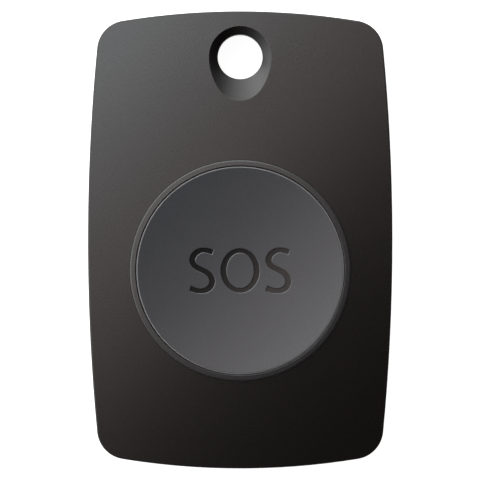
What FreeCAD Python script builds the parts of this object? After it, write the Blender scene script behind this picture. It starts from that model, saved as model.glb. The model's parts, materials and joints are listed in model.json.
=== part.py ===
import FreeCAD, Part
import math
import os
import re
import Sketcher

# Wireless panic button, in millimetres. It lies on its back: +Z points out of the front face,
# +Y towards the key-ring hole, and the origin is the middle of the back face.
SIZES = {
    # Case outline: two side arcs, two end arcs and four corner arcs, seen from the front
    "body_width": 40.0,
    "body_length": 60.0,
    "side_radius": 263.0,
    "end_radius": 96.0,
    "corner_radius": 4.0,
    # Case shells
    "crown_radius": 240.0,
    "crown_wall": 1.8,
    "side_wall": 1.6,
    "draft_angle": 0.5,
    "front_edge_radius": 0.2,
    "back_edge_radius": 1.2,
    "parting_height": 4.0,
    "seam_gap": 0.2,
    "tongue_wall": 0.75,
    "tongue_height": 1.0,
    "tongue_clearance": 0.1,
    "rear_floor": 1.8,
    # Key-ring hole and its egg-shaped recess
    "key_end_gap": 0.45,
    "key_radius": 2.95,
    "key_wall": 1.0,
    "key_edge_radius": 0.6,
    "funnel_side": 4.1,
    "funnel_foot": 5.9,
    "funnel_flank": 8.0,
    "funnel_depth": 1.0,
    "funnel_lip_radius": 0.12,
    "funnel_wall": 1.2,
    # Button, trim ring and the well that they sit in
    "button_drop": 4.0,
    "button_radius": 13.6,
    "button_gap": 0.12,
    "rim_width": 0.18,
    "rim_raise": 0.15,
    "rim_bevel": 0.12,
    "rim_bevel_height": 0.08,
    "dish_radius": 125.0,
    "cap_wall": 1.0,
    "skirt_wall": 1.3,
    "cap_flange_width": 1.8,
    "cap_flange_height": 0.8,
    "cap_post_radius": 1.5,
    "cap_post_height": 0.5,
    "cap_rib_width": 0.8,
    "cap_rib_height": 0.6,
    "press_travel": 0.4,
    "ring_width": 0.76,
    "ring_raise": 0.25,
    "ring_edge_radius": 0.2,
    "ring_lip_radius": 0.05,
    "ring_fit": 0.03,
    "ring_sleeve": 2.8,
    "ring_flange_width": 1.7,
    "ring_flange_height": 0.7,
    "well_wall": 1.8,
    "guide_pin_radius": 0.7,
    "guide_clearance": 0.15,
    "guide_edge": 0.3,
    # Battery door, its seal and the cell above it
    "door_recess": 0.1,
    "door_rim": 2.05,
    "door_disc": 1.1,
    "door_edge": 0.2,
    "door_clearance": 0.15,
    "hub_wall": 0.6,
    "hub_clearance": 0.25,
    "ledge_clearance": 0.15,
    "lug_reach": 0.6,
    "lug_height": 0.8,
    "lug_lift": 0.1,
    "lug_width": 4.0,
    "unlock_angle": 40.0,
    "seal_section": 0.28,
    "seal_play": 0.03,
    "seal_offset": 1.12,
    "coin_slot_length": 13.0,
    "coin_slot_width": 1.8,
    "coin_slot_depth": 0.6,
    "slot_end_flat": 0.1,
    "cell_radius": 10.0,
    "cell_height": 3.2,
    "cell_step": 0.5,
    "cell_edge": 0.8,
    "well_gap": 1.0,
    "battery_wall": 1.0,
    "battery_wall_drop": 0.35,
    "contact_gap": 0.4,
    "contact_sheet": 0.15,
    "contact_width": 4.0,
    "contact_play": 0.03,
    "contact_foot": 2.0,
    "leaf_end": 8.0,
    "leaf_bend": 4.2,
    "leaf_touch": 1.4,
    "leaf_tip": 2.4,
    # Circuit board and the posts that hold it
    "pcb_thickness": 1.0,
    "pcb_inset": 2.2,
    "board_key_gap": 0.1,
    "board_end_gap": 0.8,
    "post_inset": 5.0,
    "post_margin": 2.8,
    "post_radius": 1.8,
    "post_pin_radius": 0.9,
    "post_pin_height": 0.6,
    "post_clearance": 0.1,
    # Tact switch, four legs, dome and plunger
    "switch_width": 6.2,
    "switch_height": 1.9,
    "switch_well_radius": 2.5,
    "switch_well_floor": 0.6,
    "frame_thickness": 0.2,
    "frame_inset": 0.1,
    "plunger_radius": 1.65,
    "plunger_reach": 0.6,
    "plunger_play": 0.1,
    "plunger_edge": 0.15,
    "collar_radius": 2.2,
    "collar_height": 0.4,
    "dome_radius": 2.35,
    "dome_sheet": 0.12,
    "leg_width": 0.7,
    "leg_sheet": 0.25,
    "leg_reach": 1.1,
    "leg_height": 1.0,
    "leg_spacing": 4.5,
    # Silicone return pad
    "pad_margin": 3.3,
    "pad_foot_width": 1.6,
    "pad_foot_height": 0.7,
    "pad_slope": 2.8,
    "pad_crown_width": 1.4,
    "pad_crown_height": 0.6,
    "pad_web": 0.5,
    # Chips on the board
    "chip_width": 5.0,
    "chip_height": 0.85,
    "chip_post_gap": 2.1,
    "chip_margin": 3.0,
    "crystal_length": 3.2,
    "crystal_width": 2.5,
    "crystal_height": 0.7,
    "crystal_gap": 1.7,
    "antenna_left": 3.2,
    "antenna_post_gap": 1.1,
    "antenna_height": 3.2,
    "antenna_line": 0.5,
    "antenna_sheet": 0.1,
    "small_chip_length": 1.0,
    "small_chip_width": 0.5,
    "small_chip_height": 0.4,
    "small_chip_pitch": 1.6,
    "small_chip_gap": 1.3,
    # Case screws and their bosses
    "screw_inset": 6.2,
    "screw_radius": 0.95,
    "screw_length": 5.5,
    "screw_clearance": 0.15,
    "screw_grip": 0.05,
    "head_radius": 1.6,
    "head_height": 1.1,
    "head_recess": 0.3,
    "head_clearance": 0.15,
    "head_slot_length": 1.8,
    "head_slot_width": 0.4,
    "head_slot_depth": 0.5,
    "boss_wall": 0.85,
    "pilot_spare": 0.4,
}

# Where the key-ring circle is split for the recess, as a share of its radius
KEY_SPLIT = 0.5
# How far the recess's cut runs on above the crown, and how far the crown's own cut runs on
FUNNEL_RISE = 0.12
CLEAR_ABOVE = 5.0
# How far a turned blank stands above the crown before the crown is cut
BLANK_SPARE = 1.0
# How near two heights or two places have to be to count as one
NEAR = 0.01
PIN_COUNT = 3
LUG_COUNT = 3
RIB_COUNT = 6
ANTENNA_BARS = 7
SMALL_CHIPS = 4
X_AXIS = FreeCAD.Vector(1, 0, 0)
Z_AXIS = FreeCAD.Vector(0, 0, 1)

doc = FreeCAD.newDocument("PanicButton")
sheet = doc.addObject("Spreadsheet::Sheet", "Sizes")
for row, (alias, number) in enumerate(SIZES.items(), start=1):
    sheet.set(f"A{row}", alias.replace("_", " "))
    sheet.set(f"B{row}", str(number))
    sheet.setAlias(f"B{row}", alias)
doc.recompute()

# Heights worked out from the stack, from the door up to the crown
CELL_BASE = "(door_recess + door_disc)"
CELL_TOP = f"({CELL_BASE} + cell_height)"
PCB_BASE = f"({CELL_TOP} + contact_gap)"
PCB_TOP = f"({PCB_BASE} + pcb_thickness)"
SWITCH_TOP = f"({PCB_TOP} + switch_height)"
FRAME_TOP = f"({SWITCH_TOP} + frame_thickness)"
PLUNGER_TOP = f"({FRAME_TOP} + plunger_reach)"
CAP_CEILING = f"({PLUNGER_TOP} + cap_post_height)"

# The button's rim lies on a sphere about the crown's centre, and its dish on a sphere of its own.
# Both are square to the line from the crown's centre through the middle of the button.
RIM_SPHERE = "(crown_radius + rim_raise)"
DISH_OPENING = "(button_radius - rim_width)"
RIM_RISE = f"({RIM_SPHERE} - sqrt({RIM_SPHERE}^2 - {DISH_OPENING}^2))"
DISH_FALL = f"(dish_radius - sqrt(dish_radius^2 - {DISH_OPENING}^2))"
DISH_REACH = f"({RIM_SPHERE} - {RIM_RISE} - {DISH_FALL})"
LEAN_COSINE = "(sqrt(crown_radius^2 - button_drop^2) / crown_radius)"
LEAN_SINE = "(button_drop / crown_radius)"
CROWN_CENTRE = f"({CAP_CEILING} + cap_wall - {LEAN_COSINE} * {DISH_REACH})"
CROWN_TOP = f"({CROWN_CENTRE} + crown_radius)"

# Heights that hang from the crown
WELL_SEAT = f"({CROWN_TOP} - ring_sleeve)"
RING_BASE = f"({WELL_SEAT} - ring_flange_height)"
FLANGE_BASE = f"({RING_BASE} - cap_flange_height)"
KEY_Y = "(body_length / 2 - side_wall - key_end_gap - key_wall - key_radius)"
KEY_RIM = f"({CROWN_CENTRE} + sqrt(crown_radius^2 - {KEY_Y}^2))"
FUNNEL_BASE = f"({KEY_RIM} - funnel_depth)"
FUNNEL_RADII = ("funnel_side", "funnel_foot", "funnel_flank")

# Radii round the button
RING_INNER = "(button_radius + button_gap)"
RING_OUTER = f"({RING_INNER} + ring_width)"
WELL_INNER = f"({RING_OUTER} + ring_fit)"
CAP_FLANGE = "(button_radius + cap_flange_width)"

# Radii round the battery door
HUB_INNER = "(cell_radius + hub_clearance)"
HUB_OUTER = f"({HUB_INNER} + hub_wall)"
LEDGE_RADIUS = f"({HUB_OUTER} + ledge_clearance)"
LUG_RADIUS = f"({HUB_OUTER} + lug_reach)"
SEAL_RADIUS = f"({HUB_OUTER} + seal_offset)"
DOOR_RADIUS = f"({HUB_OUTER} + door_rim)"
BATTERY_INNER = f"({LUG_RADIUS} + well_gap)"

# Places in the plan: case screws, the board's ends, its posts and the line of its chips
SCREW_X = "(body_width / 2 - screw_inset)"
SCREW_Y = "(body_length / 2 - screw_inset)"
HEAD_BOSS = "(head_radius + head_clearance + boss_wall)"
PILOT_BOSS = "(screw_radius + screw_grip + boss_wall)"
BOARD_HIGH = f"({KEY_Y} - funnel_foot - funnel_wall - board_key_gap)"
BOARD_LOW = f"({SCREW_Y} - {HEAD_BOSS} - board_end_gap)"
POST_X = "(body_width / 2 - post_inset)"
POST_HIGH = f"({BOARD_HIGH} - post_margin)"
POST_LOW = f"({BOARD_LOW} - post_margin)"
CHIP_LINE = f"({BOARD_HIGH} - chip_margin)"
CHIP_X = f"({POST_X} - post_radius - chip_post_gap - chip_width / 2)"
CRYSTAL_X = f"({CHIP_X} - chip_width / 2 - crystal_gap - crystal_length / 2)"
ANTENNA_RIGHT = f"({POST_X} - post_radius - antenna_post_gap)"
ANTENNA_PITCH = f"(({ANTENNA_RIGHT} - antenna_line - antenna_left) / {ANTENNA_BARS - 1})"

# Radii of the return pad inside the cap
CAP_INNER = "(button_radius - skirt_wall)"
PAD_FOOT = f"({CAP_INNER} - pad_margin)"
PAD_CROWN = f"({PAD_FOOT} - pad_slope)"

BUTTON_Y = "(-button_drop)"
GUIDE_RADIUS = f"({CAP_FLANGE} - guide_edge)"
LUG_TOP = "(rear_floor + lug_lift + lug_height)"
DOME_BASE = f"({PCB_TOP} + switch_well_floor)"
DOME_TOP = f"({SWITCH_TOP} - plunger_play / 2 - collar_height)"
SCREW_TIP = "(head_recess + head_height + screw_length)"


def formula(text):
    """Write the names in an expression as cells of the sheet."""
    return re.sub(r"\b[a-z]+(?:_[a-z]+)+\b", lambda found: "Sizes." + found.group(), text)


def value(text):
    """Work out an expression from the sheet as it stands."""
    return float(sheet.evalExpression(formula(text)))


def bind(item, prop, text):
    """Tie a property to the sheet."""
    item.setExpression(prop, formula(text))


def new_body(name):
    """Start a body whose label names the piece and its file."""
    return doc.addObject("PartDesign::Body", name)


def new_sketch(body, name, plane="XY_Plane", offset="0"):
    """Attach a sketch to one of the body's own origin planes, moved along its normal."""
    sketch = body.newObject("Sketcher::SketchObject", name)
    support = [item for item in body.Origin.OriginFeatures if item.Role == plane][0]
    sketch.AttachmentSupport = (support, [""])
    sketch.MapMode = "FlatFace"
    bind(sketch, "AttachmentOffset.Base.z", offset)
    return sketch


def limit(sketch, kind, refs, text):
    """Add a dimension to a sketch and tie it to the sheet."""
    index = sketch.addConstraint(Sketcher.Constraint(kind, *refs, value(text)))
    bind(sketch, f"Constraints[{index}]", text)


def pin(sketch, item, point, across, along):
    """Fix a point of the sketch at a place given by two expressions."""
    if value(across) == 0:
        sketch.addConstraint(Sketcher.Constraint("PointOnObject", item, point, -2))
    else:
        limit(sketch, "DistanceX", (-1, 1, item, point), across)
    if value(along) == 0:
        sketch.addConstraint(Sketcher.Constraint("PointOnObject", item, point, -1))
    else:
        limit(sketch, "DistanceY", (-1, 1, item, point), along)


def add_circle(sketch, radius, across="0", along="0"):
    """Draw a circle with its centre at a given place."""
    centre = FreeCAD.Vector(value(across), value(along), 0)
    index = sketch.addGeometry(Part.Circle(centre, Z_AXIS, value(radius)), False)
    limit(sketch, "Radius", (index,), radius)
    pin(sketch, index, 3, across, along)


def add_polygon(sketch, corners):
    """Draw a closed outline through corners given as pairs of expressions."""
    points = [FreeCAD.Vector(value(across), value(along), 0) for across, along in corners]
    first = sketch.GeometryCount
    count = len(points)
    for index, point in enumerate(points):
        sketch.addGeometry(Part.LineSegment(point, points[(index + 1) % count]), False)
    for index, (across, along) in enumerate(corners):
        item = first + index
        after = first + (index + 1) % count
        sketch.addConstraint(Sketcher.Constraint("Coincident", item, 2, after, 1))
        pin(sketch, item, 1, across, along)


def add_rectangle(sketch, low_x, high_x, low_y, high_y):
    """Draw a rectangle between two corners."""
    add_polygon(sketch, [(low_x, low_y), (high_x, low_y), (high_x, high_y), (low_x, high_y)])


def arc_between(centre, start, end):
    """Make an arc that runs counter-clockwise from start to end about its centre."""
    first = math.atan2(start.y - centre.y, start.x - centre.x)
    last = math.atan2(end.y - centre.y, end.x - centre.x)
    if last <= first:
        last += 2 * math.pi
    circle = Part.Circle(centre, Z_AXIS, (start - centre).Length)
    return Part.ArcOfCircle(circle, first, last)


def corner_centre():
    """Find the centre of the case's corner arc, tangent inside the side arc and the end arc."""
    side_reach = value("side_radius - corner_radius")
    end_reach = value("end_radius - corner_radius")
    side = FreeCAD.Vector(value("body_width / 2 - side_radius"), 0, 0)
    end = FreeCAD.Vector(0, value("body_length / 2 - end_radius"), 0)
    apart = (end - side).Length
    toward = (end - side).normalize()
    along = (side_reach ** 2 - end_reach ** 2 + apart ** 2) / (2 * apart)
    across = math.sqrt(side_reach ** 2 - along ** 2)
    square = FreeCAD.Vector(-toward.y, toward.x, 0)
    return side + toward * along + square * across


def add_barrel(sketch, inset="0"):
    """Draw the case outline, moved inwards by an inset."""
    side_radius = f"(side_radius - {inset})"
    end_radius = f"(end_radius - {inset})"
    corner_radius = f"(corner_radius - {inset})"
    corner = corner_centre()
    side = FreeCAD.Vector(value("body_width / 2 - side_radius"), 0, 0)
    end = FreeCAD.Vector(0, value("body_length / 2 - end_radius"), 0)
    on_side = side + (corner - side).normalize() * value(side_radius)
    on_end = end + (corner - end).normalize() * value(end_radius)
    arcs = []
    for flip_x, flip_y in ((1, 1), (-1, 1), (-1, -1), (1, -1)):
        near = FreeCAD.Vector(on_side.x * flip_x, on_side.y * flip_y, 0)
        far = FreeCAD.Vector(on_end.x * flip_x, on_end.y * flip_y, 0)
        middle = FreeCAD.Vector(corner.x * flip_x, corner.y * flip_y, 0)
        if flip_x == flip_y:
            low = FreeCAD.Vector(near.x, -near.y, 0)
            arcs.append((FreeCAD.Vector(side.x * flip_x, 0, 0), low, near, side_radius))
            arcs.append((middle, near, far, corner_radius))
        else:
            left = FreeCAD.Vector(-far.x, far.y, 0)
            arcs.append((FreeCAD.Vector(0, end.y * flip_y, 0), left, far, end_radius))
            arcs.append((middle, far, near, corner_radius))
    first = sketch.GeometryCount
    for centre, start, finish, _ in arcs:
        sketch.addGeometry(arc_between(centre, start, finish), False)
    for index, (centre, _, _, radius) in enumerate(arcs):
        item = first + index
        after = first + (index + 1) % len(arcs)
        sketch.addConstraint(Sketcher.Constraint("Tangent", item, 2, after, 1))
        limit(sketch, "Radius", (item,), radius)
        if radius == side_radius:
            sign = "" if centre.x > 0 else "-"
            pin(sketch, item, 3, f"{sign}(side_radius - body_width / 2)", "0")
        if radius == end_radius:
            sign = "" if centre.y > 0 else "-"
            pin(sketch, item, 3, "0", f"{sign}(end_radius - body_length / 2)")


def add_egg(sketch, side, foot, flank, along):
    """Draw the recess outline: a half circle, two flank arcs and a foot arc, all tangent."""
    tip = f"((2 * {flank} * {side} - {side}^2 - {foot}^2) / (2 * ({flank} - {foot})))"
    middle = FreeCAD.Vector(0, value(along), 0)
    tip_radius = value(tip)
    tip_centre = middle - FreeCAD.Vector(0, value(foot) - tip_radius, 0)
    right_centre = middle - FreeCAD.Vector(value(flank) - value(side), 0, 0)
    left_centre = middle + FreeCAD.Vector(value(flank) - value(side), 0, 0)
    right = middle + FreeCAD.Vector(value(side), 0, 0)
    left = middle - FreeCAD.Vector(value(side), 0, 0)
    right_low = right_centre + (tip_centre - right_centre).normalize() * value(flank)
    left_low = left_centre + (tip_centre - left_centre).normalize() * value(flank)
    sketch.addGeometry(arc_between(middle, right, left), False)
    sketch.addGeometry(arc_between(left_centre, left, left_low), False)
    sketch.addGeometry(arc_between(tip_centre, left_low, right_low), False)
    sketch.addGeometry(arc_between(right_centre, right_low, right), False)
    for item in range(4):
        sketch.addConstraint(Sketcher.Constraint("Tangent", item, 2, (item + 1) % 4, 1))
    pin(sketch, 0, 3, "0", along)
    sketch.addConstraint(Sketcher.Constraint("Horizontal", 0, 1, 0, 3))
    sketch.addConstraint(Sketcher.Constraint("Horizontal", 0, 2, 0, 3))
    limit(sketch, "Radius", (0,), side)
    limit(sketch, "Radius", (1,), flank)
    limit(sketch, "Radius", (2,), tip)
    limit(sketch, "Radius", (3,), flank)


def add_split_circle(sketch, radius):
    """Draw the key-ring circle as four arcs that answer to the four arcs of the recess."""
    middle = FreeCAD.Vector(0, value(KEY_Y), 0)
    reach = value(radius)
    across = reach * KEY_SPLIT
    down = math.sqrt(reach ** 2 - across ** 2)
    corners = [(reach, 0), (-reach, 0), (-across, -down), (across, -down)]
    points = [middle + FreeCAD.Vector(x, y, 0) for x, y in corners]
    for item in range(4):
        sketch.addGeometry(arc_between(middle, points[item], points[(item + 1) % 4]), False)
    for item in range(4):
        sketch.addConstraint(Sketcher.Constraint("Coincident", item, 2, (item + 1) % 4, 1))
    for item in (1, 2):
        sketch.addConstraint(Sketcher.Constraint("Coincident", item, 3, 0, 3))
    sketch.addConstraint(Sketcher.Constraint("PointOnObject", 3, 3, -2))
    pin(sketch, 0, 3, "0", KEY_Y)
    sketch.addConstraint(Sketcher.Constraint("Horizontal", 0, 1, 0, 3))
    sketch.addConstraint(Sketcher.Constraint("Horizontal", 0, 2, 0, 3))
    limit(sketch, "Radius", (0,), radius)
    limit(sketch, "DistanceX", (-1, 1, 2, 2), f"{radius} * {KEY_SPLIT}")
    limit(sketch, "DistanceX", (-1, 1, 2, 1), f"-{radius} * {KEY_SPLIT}")


def add_feature(body, kind, name):
    """Add a feature at the end of the body."""
    feature = body.newObject(f"PartDesign::{kind}", name)
    body.Tip = feature
    return feature


def pad(body, name, sketch, length, down=False, both_ways=False, draft=False):
    """Extrude a sketch upwards, downwards or half each way, drawn in by the draft if asked."""
    feature = add_feature(body, "Pad", name)
    feature.Profile = sketch
    feature.Reversed = down
    if both_ways:
        feature.SideType = "Symmetric"
    bind(feature, "Length", length)
    if draft:
        bind(feature, "TaperAngle", "-draft_angle")
    return feature


def pocket(body, name, sketch, depth, down=False):
    """Cut a sketch away upwards, or downwards if asked."""
    feature = add_feature(body, "Pocket", name)
    feature.Profile = sketch
    feature.Reversed = not down
    bind(feature, "Length", depth)
    return feature


def turn(body, name, sketch, kind="Revolution"):
    """Turn a sketch once round its own vertical axis."""
    feature = add_feature(body, kind, name)
    feature.Profile = sketch
    feature.ReferenceAxis = (sketch, ["V_Axis"])
    feature.Angle = 360
    return feature


def ring_pattern(body, name, feature, sketch, count):
    """Repeat a feature round the vertical through its sketch's origin."""
    pattern = add_feature(body, "PolarPattern", name)
    pattern.Originals = [feature]
    pattern.Axis = (sketch, ["N_Axis"])
    pattern.Angle = 360
    pattern.Occurrences = count
    return pattern


def round_edges(body, name, base, radius, test, kind="Fillet"):
    """Round the edges of a feature that pass a test."""
    doc.recompute()
    names = [f"Edge{count}" for count, edge in enumerate(base.Shape.Edges, start=1)
             if not edge.Degenerated and test(edge)]
    feature = add_feature(body, kind, name)
    feature.Base = (base, names)
    bind(feature, "Size" if kind == "Chamfer" else "Radius", radius)
    return feature


def crown_cut(body, name, radius):
    """Cut away what stands above a sphere about the crown's centre."""
    apex = value(f"{CROWN_CENTRE} + {radius}")
    reach = value("body_length")
    centre = FreeCAD.Vector(0, value(CROWN_CENTRE), 0)
    top = FreeCAD.Vector(0, apex, 0)
    edge = FreeCAD.Vector(reach, centre.y + math.sqrt(value(radius) ** 2 - reach ** 2), 0)
    lid = f"({CROWN_CENTRE} + {radius} + {CLEAR_ABOVE})"
    high = value(lid)
    sketch = new_sketch(body, f"{name}_profile", "XZ_Plane")
    sketch.addGeometry(arc_between(centre, edge, top), False)
    sketch.addGeometry(Part.LineSegment(top, FreeCAD.Vector(0, high, 0)), False)
    sketch.addGeometry(
        Part.LineSegment(FreeCAD.Vector(0, high, 0), FreeCAD.Vector(reach, high, 0)), False)
    sketch.addGeometry(Part.LineSegment(FreeCAD.Vector(reach, high, 0), edge), False)
    joints = [(0, 2, 1, 1), (1, 2, 2, 1), (2, 2, 3, 1), (3, 2, 0, 1)]
    for joint in joints:
        sketch.addConstraint(Sketcher.Constraint("Coincident", *joint))
    pin(sketch, 0, 3, "0", CROWN_CENTRE)
    limit(sketch, "Radius", (0,), radius)
    pin(sketch, 1, 2, "0", lid)
    sketch.addConstraint(Sketcher.Constraint("PointOnObject", 1, 1, -2))
    pin(sketch, 2, 2, "body_length", lid)
    limit(sketch, "DistanceX", (-1, 1, 0, 1), "body_length")
    return turn(body, name, sketch, "Groove")


def on_sphere(edge, radius):
    """Tell whether an edge lies on a sphere about the crown's centre."""
    centre = FreeCAD.Vector(0, 0, value(CROWN_CENTRE))
    near = [abs((point - centre).Length - value(radius)) for point in edge.discretize(5)]
    return max(near) < NEAR


def from_axis(edge, along):
    """Measure how far an edge's middle lies from a vertical axis on the case's centre line."""
    point = edge.discretize(3)[1]
    return math.hypot(point.x, point.y - along)


def four_circles(body, name, height, radius, side, low, high):
    """Sketch four equal circles, two at the top and two at the bottom."""
    sketch = new_sketch(body, name, offset=height)
    for across in (side, f"-{side}"):
        for along in (high, f"-{low}"):
            add_circle(sketch, radius, across, along)
    return sketch


def crown_at(across, along):
    """Give the crown's height over a point of the plan."""
    return f"({CROWN_CENTRE} + sqrt(crown_radius^2 - ({across})^2 - ({along})^2))"


def make_cavity():
    """Model the hollow of the front cover, which its wall follows at an even thickness."""
    body = new_body("front_hollow")
    sketch = new_sketch(body, "hollow_outline", offset="parting_height")
    add_barrel(sketch, "side_wall")
    pad(body, "hollow_block", sketch, f"{CROWN_TOP} - parting_height", draft=True)
    crown_cut(body, "hollow_crown", "(crown_radius - crown_wall)")
    return body


def make_front_cover():
    """Mould the crowned front shell with its button well, bosses, posts and key-ring recess."""
    hollow = make_cavity()
    body = new_body("front_cover")
    outline = new_sketch(body, "cover_outline", offset="parting_height")
    add_barrel(outline)
    pad(body, "cover_block", outline, f"{CROWN_TOP} - parting_height", draft=True)
    crown = crown_cut(body, "cover_crown", "crown_radius")
    round_edges(body, "cover_front_edge", crown, "front_edge_radius",
                lambda edge: on_sphere(edge, "crown_radius") and from_axis(edge, 0) > NEAR)
    shell = add_feature(body, "Boolean", "cover_shell")
    shell.Type = "Cut"
    shell.setObjects([hollow])

    rebate = new_sketch(body, "rebate_outline", offset="parting_height")
    add_barrel(rebate, "(side_wall - tongue_wall - tongue_clearance)")
    add_barrel(rebate, "(side_wall + tongue_clearance)")
    pocket(body, "rebate", rebate, "tongue_height + tongue_clearance")

    well = new_sketch(body, "well_outline", offset=WELL_SEAT)
    add_circle(well, f"({WELL_INNER} + well_wall)", "0", BUTTON_Y)
    pad(body, "well_boss", well, "ring_sleeve - crown_wall")

    egg = new_sketch(body, "funnel_boss_outline", offset=f"({FUNNEL_BASE} - funnel_wall)")
    add_egg(egg, *[f"({radius} + funnel_wall)" for radius in FUNNEL_RADII], KEY_Y)
    pad(body, "funnel_boss", egg, f"{KEY_RIM} - crown_wall / 2 - {FUNNEL_BASE} + funnel_wall")

    tube = new_sketch(body, "key_tube_outline", offset="parting_height")
    add_circle(tube, "(key_radius + key_wall)", "0", KEY_Y)
    pad(body, "key_tube", tube, f"{FUNNEL_BASE} - parting_height")

    boss_top = crown_at(SCREW_X, SCREW_Y)
    bosses = four_circles(body, "boss_outlines", "parting_height",
                          PILOT_BOSS, SCREW_X, SCREW_Y, SCREW_Y)
    pad(body, "screw_bosses", bosses, f"{boss_top} - crown_wall / 2 - parting_height")

    post_top = crown_at(POST_X, POST_LOW)
    posts = four_circles(body, "post_outlines", PCB_TOP, "post_radius", POST_X, POST_LOW, POST_HIGH)
    pad(body, "board_posts", posts, f"{post_top} - crown_wall / 2 - {PCB_TOP}")

    opening = new_sketch(body, "button_opening_outline", offset="parting_height")
    add_circle(opening, WELL_INNER, "0", BUTTON_Y)
    pocket(body, "button_opening", opening, f"{CROWN_TOP} - parting_height")

    bore = new_sketch(body, "key_bore_outline", offset="parting_height")
    add_circle(bore, "key_radius", "0", KEY_Y)
    pocket(body, "key_bore", bore, f"{FUNNEL_BASE} - parting_height")
    low = new_sketch(body, "funnel_low", offset=FUNNEL_BASE)
    add_split_circle(low, "key_radius")
    spread = f"((funnel_depth + {FUNNEL_RISE}) / funnel_depth)"
    high = new_sketch(body, "funnel_high")
    high.AttachmentOffset = FreeCAD.Placement(FreeCAD.Vector(), FreeCAD.Rotation(X_AXIS, -1))
    lean = f"({KEY_Y} / crown_radius)"
    reach = f"(crown_radius + {FUNNEL_RISE})"
    bind(high, "AttachmentOffset.Base.y", f"{reach} * {lean}")
    bind(high, "AttachmentOffset.Base.z", f"{CROWN_CENTRE} + {reach} * sqrt(1 - {lean}^2)")
    bind(high, "AttachmentOffset.Rotation.Angle", f"-asin({lean})")
    radii = [f"(key_radius + ({radius} - key_radius) * {spread})" for radius in FUNNEL_RADII]
    add_egg(high, *radii, "0")
    funnel = add_feature(body, "SubtractiveLoft", "key_funnel")
    funnel.Profile = low
    funnel.Sections = [high]
    funnel.Ruled = True
    lip_reach = value("funnel_foot") + BLANK_SPARE
    lip = round_edges(body, "funnel_lip", funnel, "funnel_lip_radius",
                      lambda edge: on_sphere(edge, "crown_radius")
                      and from_axis(edge, value(KEY_Y)) < lip_reach)
    round_edges(body, "key_bore_lip", lip, "funnel_lip_radius",
                lambda edge: abs(edge.BoundBox.ZMin - value(FUNNEL_BASE)) < NEAR
                and edge.BoundBox.ZLength < NEAR
                and from_axis(edge, value(KEY_Y)) < value("key_radius") + NEAR)

    pilots = four_circles(body, "pilot_outlines", "parting_height",
                          "(screw_radius + screw_grip)", SCREW_X, SCREW_Y, SCREW_Y)
    pocket(body, "screw_pilots", pilots, f"{SCREW_TIP} + pilot_spare - parting_height")
    sockets = four_circles(body, "socket_outlines", PCB_TOP, "(post_pin_radius + post_clearance)",
                           POST_X, POST_LOW, POST_HIGH)
    pocket(body, "pin_sockets", sockets, "post_pin_height + post_clearance")
    return body


def make_bezel_ring():
    """Turn the trim ring with its flange, crown its top and stand three guide pins below it."""
    body = new_body("bezel_ring")
    profile = new_sketch(body, "ring_profile", "XZ_Plane", "button_drop")
    high = f"({CROWN_TOP} + ring_raise + {BLANK_SPARE})"
    flange = f"({RING_OUTER} + ring_flange_width)"
    add_polygon(profile, [(RING_INNER, RING_BASE), (flange, RING_BASE), (flange, WELL_SEAT),
                          (RING_OUTER, WELL_SEAT), (RING_OUTER, high), (RING_INNER, high)])
    turn(body, "ring_blank", profile)
    crown = crown_cut(body, "ring_crown", "(crown_radius + ring_raise)")
    middle = value(f"({RING_INNER} + {RING_OUTER}) / 2")
    edged = round_edges(body, "ring_edge", crown, "ring_edge_radius",
                        lambda edge: on_sphere(edge, "(crown_radius + ring_raise)")
                        and from_axis(edge, value(BUTTON_Y)) > middle)
    round_edges(body, "ring_lip", edged, "ring_lip_radius",
                lambda edge: on_sphere(edge, "(crown_radius + ring_raise)")
                and from_axis(edge, value(BUTTON_Y)) < value(RING_INNER) + NEAR)
    pins = new_sketch(body, "guide_pin_outline", offset=RING_BASE)
    bind(pins, "AttachmentOffset.Base.y", BUTTON_Y)
    add_circle(pins, "guide_pin_radius", "0", GUIDE_RADIUS)
    pin_pad = pad(body, "guide_pin", pins, "cap_flange_height + press_travel", down=True)
    ring_pattern(body, "guide_pins", pin_pad, pins, PIN_COUNT)
    return body


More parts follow.
